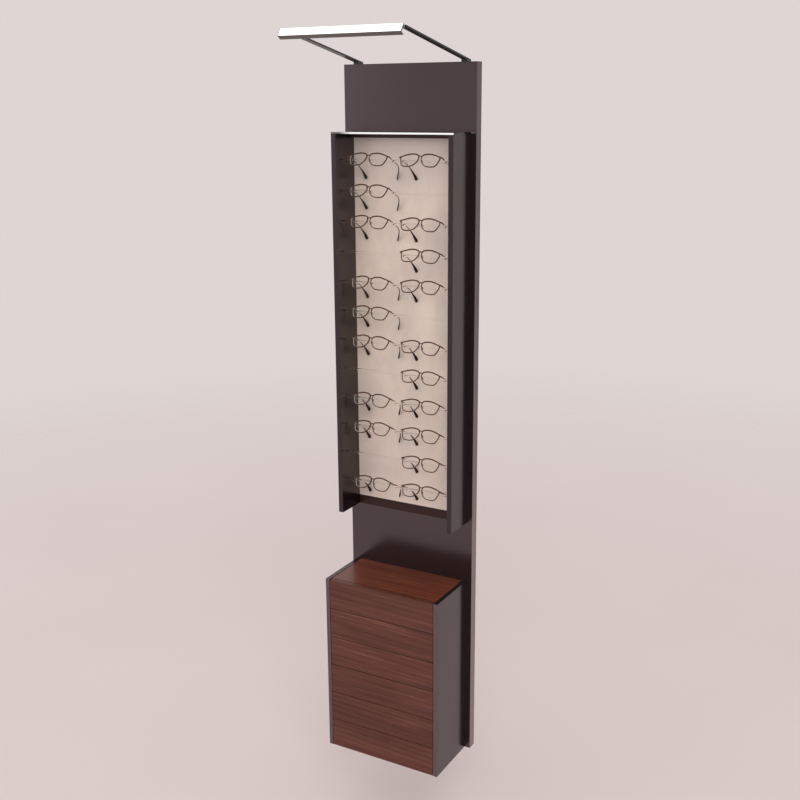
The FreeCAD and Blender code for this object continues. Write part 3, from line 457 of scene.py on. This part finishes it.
def spectacles_mesh():
    bm = bmesh.new()
    # Rims: an oblong section carried round each lens outline.
    for side in (-1, 1):
        loop = smooth_loop([(side * x, t) for x, t in RIM], 96)
        rings = []
        for i, p in enumerate(loop):
            a, b = loop[i - 1], loop[(i + 1) % len(loop)]
            tan = (b - a).normalized()
            nrm = Vector((tan.y, -tan.x)) * side
            upper = max(0.0, min(1.0, (p.y + 4) / 12))
            w, d = 2.8 + 1.4 * upper, 4.0 + 0.3 * upper
            rings.append([face_pt(p.x + nrm.x * u, p.y + nrm.y * u, v) for u, v in section(w, d, 10)])
        loft(bm, rings, True, FRAME_MAT)
        # End piece running back to the hinge.
        path = smooth_path([face_pt(side * 61.5, 2.4), face_pt(side * 66.5, 1.6), face_pt(side * 70.0, 0.9, -0.6), face_pt(side * 71.2, 0.5, -3.4)], 12)
        sweep(bm, path, lambda s: (2.8 - 0.5 * s, 4.6 - 1.0 * s), UP, FRAME_MAT)
        # Hinge: three short knuckles in a row.
        c = face_pt(side * 70.0, 0.4, -4.2)
        for j in range(3):
            z = (j - 1) * 1.15
            rings = [[c + (UP * (z + h) + Vector((math.cos(a), 0, 0)) * 1.1 + OUT * math.sin(a) * 1.1) * MM for a in [2 * math.pi * q / 10 for q in range(10)]] for h in (-0.5, 0.5)]
            loft(bm, rings, False, HINGE_MAT)
        # Nose pad: a small soft oval on a bent wire.
        path = smooth_path([face_pt(side * 5.4, -5.5, -0.8), face_pt(side * 6.2, -6.6, -3.2), face_pt(side * 7.4, -8.4, -4.8), face_pt(side * 7.0, -10.0, -5.6)], 10)
        sweep(bm, path, lambda s: (0.7, 0.7), UP, HINGE_MAT, 6)
        centre = face_pt(side * 6.6, -10.4, -6.2)
        long = (UP * 0.94 + Vector((-side * 0.34, 0, 0))).normalized()
        flat = (OUT * -0.55 + Vector((-side * 0.83, 0, 0))).normalized()
        flat = (flat - long * flat.dot(long)).normalized()
        wid = long.cross(flat)
        rings = []
        for q in range(9):
            th = -math.pi / 2 + math.pi * q / 8
            r, h = max(math.cos(th), 0.04), math.sin(th)
            rings.append([centre + (long * (6.0 * h) + wid * (3.2 * r * math.cos(a)) + flat * (1.1 * r * math.sin(a))) * MM for a in [2 * math.pi * e / 14 for e in range(14)]])
        loft(bm, rings, False, PAD_MAT)
        # Temple: slim side arm, then the tip that drops and swells.
        hinge = face_pt(side * 70.4, 0.3, -4.6)
        P = [hinge, Vector((side * 70.8, 14.0, -6.9)) * MM, Vector((side * 70.4, 36.0, -18.2)) * MM, Vector((side * 69.0, 57.0, -29.8)) * MM, Vector((side * 67.4, 63.0, -37.0)) * MM]
        path = smooth_path(P, 26)
        sweep(bm, path, lambda s: (1.9, 3.4 - 1.0 * s), Vector((0, 0, 1)), TEMPLE_MAT, 8)
        T = [Vector((side * 68.8, 58.4, -31.2)), Vector((side * 67.0, 64.0, -38.6)), Vector((side * 64.0, 68.6, -46.0)), Vector((side * 60.4, 72.4, -54.4)),
             Vector((side * 57.0, 75.4, -63.0)), Vector((side * 54.0, 77.2, -71.4))]
        path = smooth_path([v * MM for v in T], 40)

        def girth(s):
            w = 2.2 + 1.0 * s
            t = 2.8 + 6.8 * min(1.0, max(0.0, (s - 0.1) / 0.74)) ** 1.4
            if s > 0.93:
                k = max(1 - (s - 0.93) / 0.07, 0.0)
                f = math.sqrt(max(0.0, 1 - (1 - k) ** 2)) * 0.75 + 0.25
                w, t = w * f, t * f
            if s < 0.03:
                w, t = w * 0.85, t * 0.9
            return (w, t)

        n = len(path)

        def lean(i):
            a, b = path[max(i - 1, 0)], path[min(i + 1, n - 1)]
            d = (b - a).normalized()
            # The broad side turns from the temple's upright plane to face forward and inward.
            return Vector((side * 0.95 * min(1.0, i / (0.6 * n)), d.z, -d.y)).normalized()

        sweep(bm, path, girth, lean, TIP_MAT, 12)
    # Bridge: a slim saddle between the rims.
    path = smooth_path([face_pt(-6.3, 1.6), face_pt(-3.6, 3.8), face_pt(0, 4.6, 0.4), face_pt(3.6, 3.8), face_pt(6.3, 1.6)], 18)
    sweep(bm, path, lambda s: (3.0, 3.0 + 0.5 * abs(2 * s - 1)), OUT, FRAME_MAT)
    bmesh.ops.recalc_face_normals(bm, faces=bm.faces)
    me = bpy.data.meshes.new("spectacles_frame")
    bm.to_mesh(me)
    bm.free()
    return me


def lens_mesh():
    """Both lenses: thin meniscus sheets with a small crown."""
    bm = bmesh.new()
    for side in (-1, 1):
        loop = smooth_loop([(side * x, t) for x, t in RIM], 64)
        c = sum(loop, Vector((0, 0))) / len(loop)
        layers = []
        for lift, flip in ((0.55, 1), (-0.55, -1)):
            rows = []
            for q in (0.0, 0.3, 0.6, 0.85, 0.985):
                rows.append([face_pt(c.x + (p.x - c.x) * q, c.y + (p.y - c.y) * q, lift + 1.1 * (1 - q * q)) for p in loop] if q else [face_pt(c.x, c.y, lift + 1.1)])
            layers.append(rows)
        made = []
        for rows in layers:
            vs = [[bm.verts.new(p) for p in r] for r in rows]
            n = len(loop)
            for k in range(n):
                bm.faces.new((vs[0][0], vs[1][k], vs[1][(k + 1) % n]))
            for i in range(1, len(vs) - 1):
                for k in range(n):
                    bm.faces.new((vs[i][k], vs[i + 1][k], vs[i + 1][(k + 1) % n], vs[i][(k + 1) % n]))
            made.append(vs[-1])
        n = len(loop)
        for k in range(n):
            bm.faces.new((made[0][k], made[0][(k + 1) % n], made[1][(k + 1) % n], made[1][k]))
    for f in bm.faces:
        f.smooth = True
    bmesh.ops.recalc_face_normals(bm, faces=bm.faces)
    me = bpy.data.meshes.new("spectacles_lenses")
    bm.to_mesh(me)
    bm.free()
    return me


def lens_material():
    """Thin clear lens: see-through with a faint cool coating."""
    m = Mat("demo_lens")
    fine = m.noise(m.coords(scale=(12, 12, 12)), 2.0, 1.0)
    tint = m.ramp(fine, [(0.3, (0.95, 0.97, 0.96)), (0.7, (0.985, 0.985, 0.98))])
    m.set(color=tint, rough=0.02, trans=1.0, ior=1.22)
    return m.m


FRAME_LOOK = plastic("spectacle_front", (0.072, 0.0370, 0.0220), 0.42, 0.0, (1.0, 0.55, 0.38), 0.3)
TEMPLE_LOOK = metal("spectacle_temple", (0.135, 0.090, 0.060), 0.36, 1, 0.6)
TIP_LOOK = plastic("spectacle_tip", (0.004, 0.002, 0.002), 0.32, 0.0, (0.8, 0.6, 0.55))
PAD_LOOK = plastic("spectacle_pad", (0.42, 0.40, 0.37), 0.30)
HINGE_LOOK = metal("spectacle_hinge", (0.45, 0.40, 0.34), 0.25)
LENS = lens_material()

glasses_me = spectacles_mesh()
for mat in (FRAME_LOOK, TEMPLE_LOOK, TIP_LOOK, PAD_LOOK, HINGE_LOOK):
    glasses_me.materials.append(mat)
lenses_me = lens_mesh()
lenses_me.materials.append(LENS)
SITES = []
for name in sorted(NODES):
    if not name.startswith("glasses_"):
        continue
    _, column, row = name.split("_")
    lo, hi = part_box(name)
    at = Vector(((lo.x + hi.x) / 2, -0.1211, 1.9393 - 0.0922 * (int(row) - 1)))
    SITES.append((column, int(row), at))
    for kind, me in (("frame", glasses_me), ("lenses", lenses_me)):
        o = bpy.data.objects.new("spectacles_%s_%s_%s" % (column, row, kind), me)
        bpy.context.scene.collection.objects.link(o)
        o.location = at
        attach(o, "pair_%s_%s" % (column, row))
        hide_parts(name)

# ------------------------------------------------------------ stage and camera
floor_me = bpy.data.meshes.new("floor")
s = 9.0
floor_me.from_pydata([(-s, -s, 0), (s, -s, 0), (s, s, 0), (-s, s, 0)], [], [(0, 1, 2, 3)])
floor = bpy.data.objects.new("floor", floor_me)
floor.location = (0, 0, -0.22)
bpy.context.scene.collection.objects.link(floor)
fm = Mat("floor")
away = fm.n("VectorMath", operation="LENGTH")
fm.link(fm.coords(), away.inputs[0])
tone = fm.mix(fm.remap(fm.noise(fm.coords(), 0.8, 2.0), 0.3, 0.7, 0.0, 1.0), (0.83, 0.765, 0.75), (0.86, 0.795, 0.78))
fm.set(color=tone, rough=0.75, alpha=fm.remap(away.outputs["Value"], 1.6, 6.5, 1.0, 0.0))
floor_me.materials.append(fm.m)

world = bpy.data.worlds.new("studio")
world.use_nodes = True
bg = world.node_tree.nodes["Background"]
bg.inputs["Color"].default_value = (0.80, 0.725, 0.715, 1)
bg.inputs["Strength"].default_value = 0.92
bpy.context.scene.world = world


def area(name, loc, target, size, power, color=(1, 1, 1)):
    d = bpy.data.lights.new(name, "AREA")
    d.shape = "RECTANGLE"
    d.size, d.size_y = size
    d.energy = power
    d.color = color
    o = bpy.data.objects.new(name, d)
    o.location = loc
    o.rotation_mode = "QUATERNION"
    o.rotation_quaternion = (Vector(target) - Vector(loc)).to_track_quat("-Z", "Y")
    bpy.context.scene.collection.objects.link(o)
    return o


area("key", (2.4, -3.4, 3.6), (0, 0, 1.1), (2.6, 2.6), 60, (1.0, 0.96, 0.93))
area("fill", (-3.4, -2.7, 2.4), (0, 0, 1.1), (2.8, 2.8), 12, (1.0, 0.95, 0.94))

cam_data = bpy.data.cameras.new("camera")
cam = bpy.data.objects.new("camera", cam_data)
bpy.context.scene.collection.objects.link(cam)
az, el, ro, f_px = 0.5157822914404656, -0.26354080731484647, -0.006751545450061095, 1108.2275314179994
look = Vector((-math.sin(az) * math.cos(el), math.cos(az) * math.cos(el), math.sin(el)))
r0 = Vector((math.cos(az), math.sin(az), 0))
u0 = r0.cross(look)
right = math.cos(ro) * r0 + math.sin(ro) * u0
upv = -math.sin(ro) * r0 + math.cos(ro) * u0
M = Matrix((right, upv, -look)).transposed().to_4x4()
M.translation = Vector((1.6471122442, -2.9999360164, 2.0973729382))
cam.matrix_world = M
cam_data.sensor_width = 36.0
cam_data.lens = f_px * 36.0 / 800.0
cam_data.clip_start, cam_data.clip_end = 0.05, 60.0
bpy.context.scene.camera = cam
bpy.context.scene.view_settings.view_transform = "Standard"
